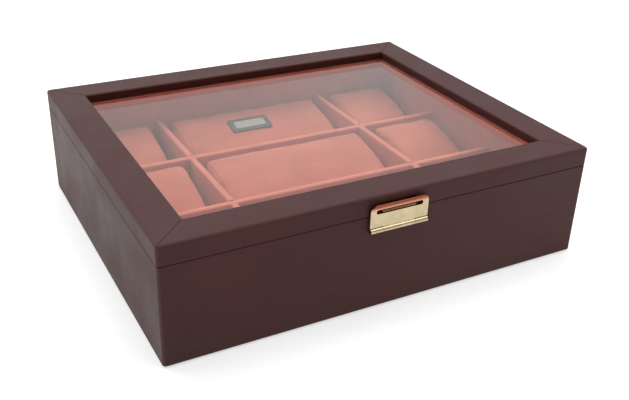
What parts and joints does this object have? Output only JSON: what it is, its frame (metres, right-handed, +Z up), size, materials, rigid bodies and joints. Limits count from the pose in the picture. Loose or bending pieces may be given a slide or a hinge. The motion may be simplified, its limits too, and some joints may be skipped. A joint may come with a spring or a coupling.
{
  "type": "watch box",
  "caption": "Leather-covered watch box with a hinged glass-topped lid, a front hasp, suede dividers and nine removable cushions, one with a blank plaque.",
  "frame": {"origin": "centre of the rectangular footprint of the box, on the surface it stands on", "axes": "+X to the right along the front, +Y from the catch to the hinges, +Z up"},
  "size_m": [0.32, 0.2736, 0.085],
  "materials": {
    "brown_leather": "fine-grained dark brown leather, satin",
    "box_board": "fibreboard, covered",
    "coral_suede": "coral suede lining",
    "cushion_suede": "coral suede cushion",
    "black_felt": "black felt",
    "clear_glass": "clear polished glass",
    "nickel_plaque": "brushed dark plate",
    "bronze_strike": "dark bronze",
    "gilt_brass": "polished pale gold plating"
  },
  "bodies": {
    "base": {"base_felt": "black_felt", "base_leather": "brown_leather", "bottom_board": "box_board", "column_divider_left": "coral_suede", "column_divider_right": "coral_suede", "floor_liner": "coral_suede", "hasp_bracket": "gilt_brass", "hasp_pin": "gilt_brass", "hasp_screws": "gilt_brass", "hinge_base_leaf_left": "gilt_brass", "hinge_base_leaf_right": "gilt_brass", "hinge_base_screws": "gilt_brass", "hinge_pin_left": "gilt_brass", "hinge_pin_right": "gilt_brass", "row_divider_back": "coral_suede", "row_divider_front": "coral_suede", "wall_board_back": "box_board", "wall_board_front": "box_board", "wall_board_left": "box_board", "wall_board_right": "box_board", "wall_liner_back": "coral_suede", "wall_liner_front": "coral_suede", "wall_liner_left": "coral_suede", "wall_liner_right": "coral_suede"},
    "lid": {"glass_pane": "clear_glass", "hinge_lid_leaf_left": "gilt_brass", "hinge_lid_leaf_right": "gilt_brass", "hinge_lid_screws": "gilt_brass", "lid_leather_back": "brown_leather", "lid_leather_front": "brown_leather", "lid_leather_left": "brown_leather", "lid_leather_right": "brown_leather", "lid_lining_back": "coral_suede", "lid_lining_front": "coral_suede", "lid_lining_left": "coral_suede", "lid_lining_right": "coral_suede", "lid_rail_back": "box_board", "lid_rail_front": "box_board", "lid_rail_left": "box_board", "lid_rail_right": "box_board", "strike_plate": "bronze_strike", "strike_screws": "bronze_strike"},
    "hasp": {"hasp_plate": "gilt_brass"},
    "cushion_centre_back": {"cushion_centre_back": "cushion_suede", "plaque": "nickel_plaque"},
    "cushion_centre_front": {"cushion_centre_front": "cushion_suede"},
    "cushion_centre_middle": {"cushion_centre_middle": "cushion_suede"},
    "cushion_left_back": {"cushion_left_back": "cushion_suede"},
    "cushion_left_front": {"cushion_left_front": "cushion_suede"},
    "cushion_left_middle": {"cushion_left_middle": "cushion_suede"},
    "cushion_right_back": {"cushion_right_back": "cushion_suede"},
    "cushion_right_front": {"cushion_right_front": "cushion_suede"},
    "cushion_right_middle": {"cushion_right_middle": "cushion_suede"}
  },
  "joints": [
    {"name": "lid_hinge", "type": "hinge", "parent": "base", "child": "lid", "pos_m": [0, 0.1349, 0.07115], "axis": [-1, 0, 0], "range_deg": [0, 100]},
    {"name": "hasp_hinge", "type": "hinge", "parent": "base", "child": "hasp", "pos_m": [0, -0.1343, 0.0616], "axis": [1, 0, 0], "range_deg": [0, 160]},
    {"name": "cushion_centre_back_lift", "type": "slide", "parent": "base", "child": "cushion_centre_back", "axis": [0, 0, 1], "range_m": [0, 0.012]},
    {"name": "cushion_centre_front_lift", "type": "slide", "parent": "base", "child": "cushion_centre_front", "axis": [0, 0, 1], "range_m": [0, 0.012]},
    {"name": "cushion_centre_middle_lift", "type": "slide", "parent": "base", "child": "cushion_centre_middle", "axis": [0, 0, 1], "range_m": [0, 0.012]},
    {"name": "cushion_left_back_lift", "type": "slide", "parent": "base", "child": "cushion_left_back", "axis": [0, 0, 1], "range_m": [0, 0.012]},
    {"name": "cushion_left_front_lift", "type": "slide", "parent": "base", "child": "cushion_left_front", "axis": [0, 0, 1], "range_m": [0, 0.012]},
    {"name": "cushion_left_middle_lift", "type": "slide", "parent": "base", "child": "cushion_left_middle", "axis": [0, 0, 1], "range_m": [0, 0.012]},
    {"name": "cushion_right_back_lift", "type": "slide", "parent": "base", "child": "cushion_right_back", "axis": [0, 0, 1], "range_m": [0, 0.012]},
    {"name": "cushion_right_front_lift", "type": "slide", "parent": "base", "child": "cushion_right_front", "axis": [0, 0, 1], "range_m": [0, 0.012]},
    {"name": "cushion_right_middle_lift", "type": "slide", "parent": "base", "child": "cushion_right_middle", "axis": [0, 0, 1], "range_m": [0, 0.012]}
  ]
}
